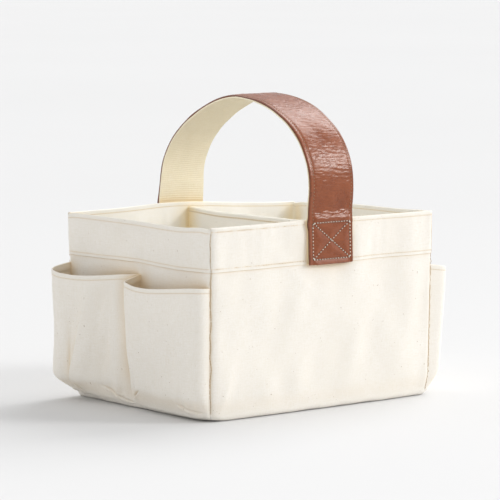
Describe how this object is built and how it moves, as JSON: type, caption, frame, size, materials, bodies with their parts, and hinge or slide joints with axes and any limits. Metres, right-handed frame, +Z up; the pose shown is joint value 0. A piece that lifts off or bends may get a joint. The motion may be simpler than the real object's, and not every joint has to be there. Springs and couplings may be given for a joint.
{
  "type": "cleaning caddy",
  "caption": "Open-topped canvas carrying caddy with a middle divider, bellows pockets on its short sides and one wide arched leather strap backed with webbing.",
  "frame": {"origin": "centre of the base, on the surface that the caddy stands on", "axes": "+Z up, +X along the long side, from one pocketed end to the other, +Y across the caddy, away from the front wall"},
  "size_m": [0.36, 0.2546, 0.3283],
  "materials": {
    "canvas": "matte plain-weave cotton canvas, undyed",
    "lining": "matte undyed cotton",
    "stiffener": "matte pressed felt",
    "board": "matte stiff board",
    "webbing": "ribbed cotton webbing",
    "leather": "smooth saddle leather, satin",
    "thread": "waxed cotton thread"
  },
  "bodies": {
    "caddy": {"front_panel": "canvas", "front_tab_leather": "leather", "front_tab_webbing": "webbing", "front_box_stitch": "thread", "back_panel": "canvas", "back_tab_leather": "leather", "back_tab_webbing": "webbing", "back_box_stitch": "thread", "left_side_panel": "canvas", "left_front_pocket": "canvas", "left_back_pocket": "canvas", "right_side_panel": "canvas", "right_front_pocket": "canvas", "right_back_pocket": "canvas", "front_band": "canvas", "front_lining": "lining", "front_stiffener": "stiffener", "back_band": "canvas", "back_lining": "lining", "back_stiffener": "stiffener", "left_band": "canvas", "left_lining": "lining", "left_stiffener": "stiffener", "right_band": "canvas", "right_lining": "lining", "right_stiffener": "stiffener", "bottom_panel": "canvas", "base_board": "board", "base_lining": "lining", "divider_cover": "lining", "divider_board": "board", "rim_stitch": "thread", "hem_stitch": "thread"},
    "handle": {"strap_leather": "leather", "strap_webbing": "webbing", "strap_edge_stitch": "thread"}
  },
  "joints": [
    {"name": "handle_tilt", "type": "hinge", "parent": "caddy", "child": "handle", "pos_m": [0, 0, 0.23], "axis": [0, 1, 0], "range_deg": [-70, 70], "stiffness_Nm_per_rad": 0.4}
  ]
}
